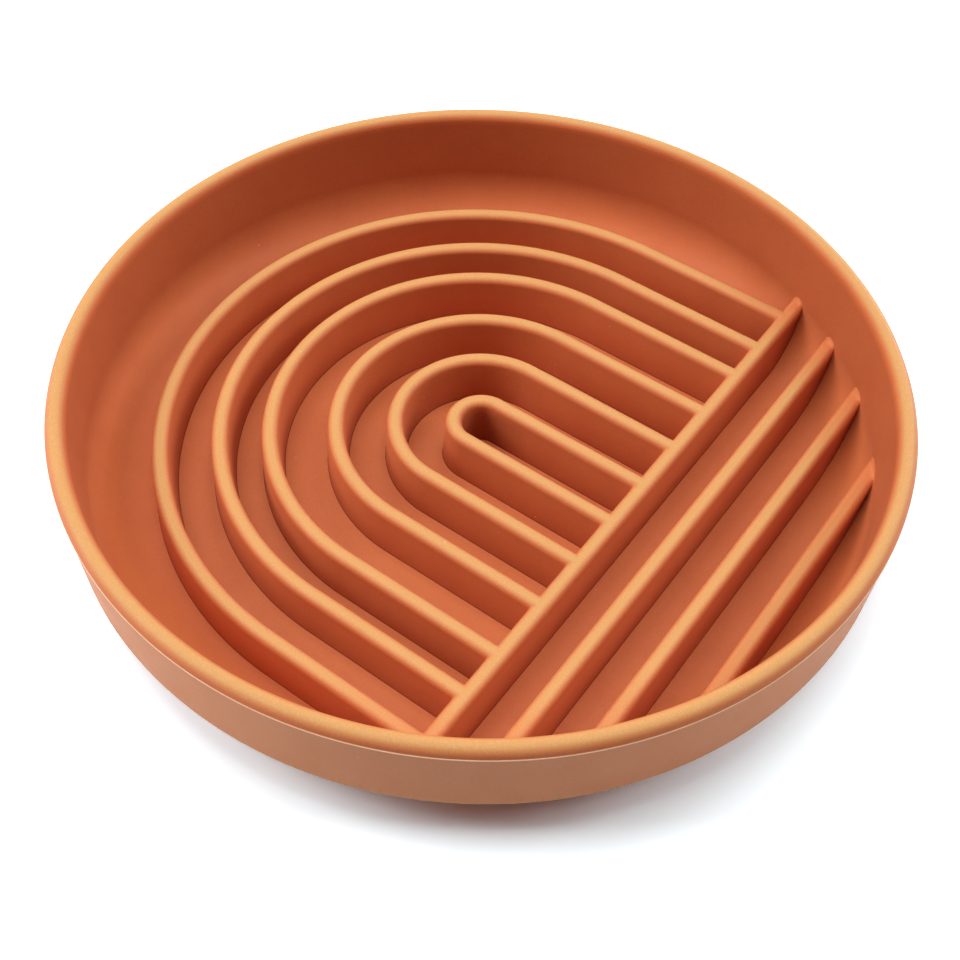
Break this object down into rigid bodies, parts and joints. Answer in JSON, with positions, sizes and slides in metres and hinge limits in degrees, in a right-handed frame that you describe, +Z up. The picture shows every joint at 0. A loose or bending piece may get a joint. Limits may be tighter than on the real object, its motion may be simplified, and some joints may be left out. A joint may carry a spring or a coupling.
{
  "type": "slow feeder bowl",
  "caption": "Shallow round silicone slow feeder bowl whose floor carries nested arch ridges that close against straight parallel bars.",
  "frame": {"origin": "on the table under the middle of the bowl", "axes": "+Z up; +X along the legs of the arches, from the arches to the bars; Y along the bars"},
  "size_m": [0.2205, 0.2204, 0.0404],
  "materials": {
    "silicone": "matte"
  },
  "bodies": {
    "root": {"rim_bead": "silicone", "side_wall": "silicone", "base_cove": "silicone", "floor": "silicone", "foot_ring": "silicone", "arch_ridge_1": "silicone", "arch_ridge_2": "silicone", "arch_ridge_3": "silicone", "arch_ridge_4": "silicone", "arch_ridge_5": "silicone", "arch_ridge_6": "silicone", "bar_ridge_1": "silicone", "bar_ridge_2": "silicone", "bar_ridge_3": "silicone", "bar_ridge_4": "silicone"}
  },
  "joints": []
}
